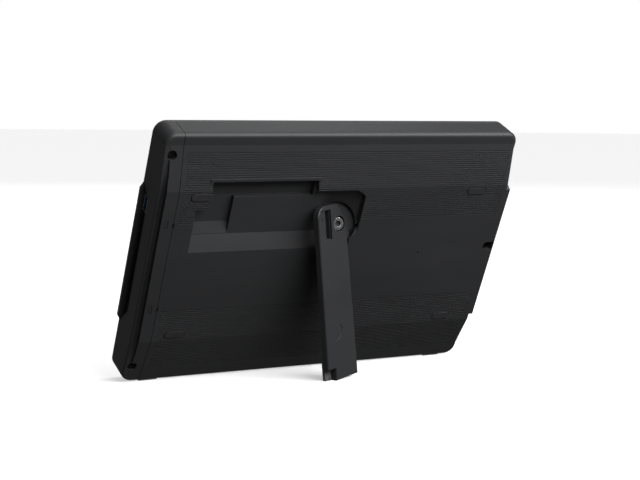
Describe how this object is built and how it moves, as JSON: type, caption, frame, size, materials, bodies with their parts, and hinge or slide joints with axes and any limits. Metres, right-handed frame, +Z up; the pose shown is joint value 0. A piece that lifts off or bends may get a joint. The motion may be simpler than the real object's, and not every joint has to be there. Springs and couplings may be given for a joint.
{
  "type": "data collector",
  "caption": "Tablet-format data collector with a ribbed back, a side bay of input terminals and a swing-out leg that folds into a recess.",
  "frame": {"origin": "centre of the bounding box's underside, on the surface that the case and leg stand on", "axes": "+Z up; +X towards the end with the port bay; -Y the way the screen faces, leaning back; +Y towards the leg"},
  "size_m": [0.3046, 0.1066, 0.1962],
  "materials": {
    "case_plastic": "fine-grained dark grey moulded plastic",
    "bezel_plastic": "fine-grained lighter grey moulded plastic",
    "screen_glass": "dark polished cover glass",
    "foam_rubber": "closed-cell foam",
    "display_metal": "plain sheet",
    "magnesium": "cast, matte",
    "circuit_board": "green solder mask",
    "aluminium_fins": "extruded fins",
    "board_parts": "black moulded packages",
    "battery_wrap": "dark shrink film",
    "inner_plastic": "plain black moulding",
    "steel": "zinc plated",
    "ribbon_film": "amber flexible film",
    "port_plastic": "black moulding",
    "bright_steel": "nickel plated",
    "usb_blue": "blue moulding",
    "contact_metal": "gold flashed",
    "pad_rubber": "moulded rubber",
    "black_steel": "black oxide",
    "foot_rubber": "ribbed rubber",
    "button_plastic": "satin grey plastic",
    "leg_plastic": "fine-grained dark grey moulded plastic",
    "module_plastic": "black glass-filled plastic"
  },
  "bodies": {
    "case": {"back_pads": "pad_rubber", "base_feet": "foot_rubber", "battery_cell_tray": "inner_plastic", "battery_pack": "battery_wrap", "board_screws": "steel", "card_door_pin": "steel", "card_slots": "bright_steel", "case_screws": "steel", "chassis": "magnesium", "display_gasket": "foam_rubber", "display_panel": "display_metal", "display_ribbon": "ribbon_film", "end_cover_screws": "black_steel", "front_bezel": "bezel_plastic", "heat_spreader": "aluminium_fins", "hinge_plate": "steel", "input_module_1": "module_plastic", "input_module_2": "module_plastic", "input_module_3": "module_plastic", "input_module_4": "module_plastic", "io_board": "circuit_board", "left_end_cover": "case_plastic", "main_board": "circuit_board", "memory_modules": "board_parts", "pivot_screw": "bright_steel", "pivot_washer": "steel", "port_panel": "port_plastic", "power_jack": "port_plastic", "power_switch": "inner_plastic", "rear_cover": "case_plastic", "recording_drive": "display_metal", "speaker": "inner_plastic", "touch_glass": "screen_glass", "usb_contacts": "contact_metal", "usb_shell": "bright_steel", "usb_tongue": "usb_blue"},
    "leg": {"kickstand_leg": "leg_plastic", "kickstand_foot": "foot_rubber"},
    "button": {"power_button": "button_plastic"},
    "card_flap": {"card_door": "case_plastic"}
  },
  "joints": [
    {"name": "kickstand_swing", "type": "hinge", "parent": "case", "child": "leg", "pos_m": [-0.0011, 0.02283, 0.11873], "axis": [0, 0.9999, -0.0162], "range_deg": [-95.3, 0]},
    {"name": "power_press", "type": "slide", "parent": "case", "child": "button", "axis": [1, 0, 0], "range_m": [0, 0.001], "stiffness_N_per_m": 900},
    {"name": "card_flap_hinge", "type": "hinge", "parent": "case", "child": "card_flap", "pos_m": [-0.1489, -0.02083, 0.06062], "axis": [0, 0.4215, 0.9068], "range_deg": [0, 90]}
  ]
}
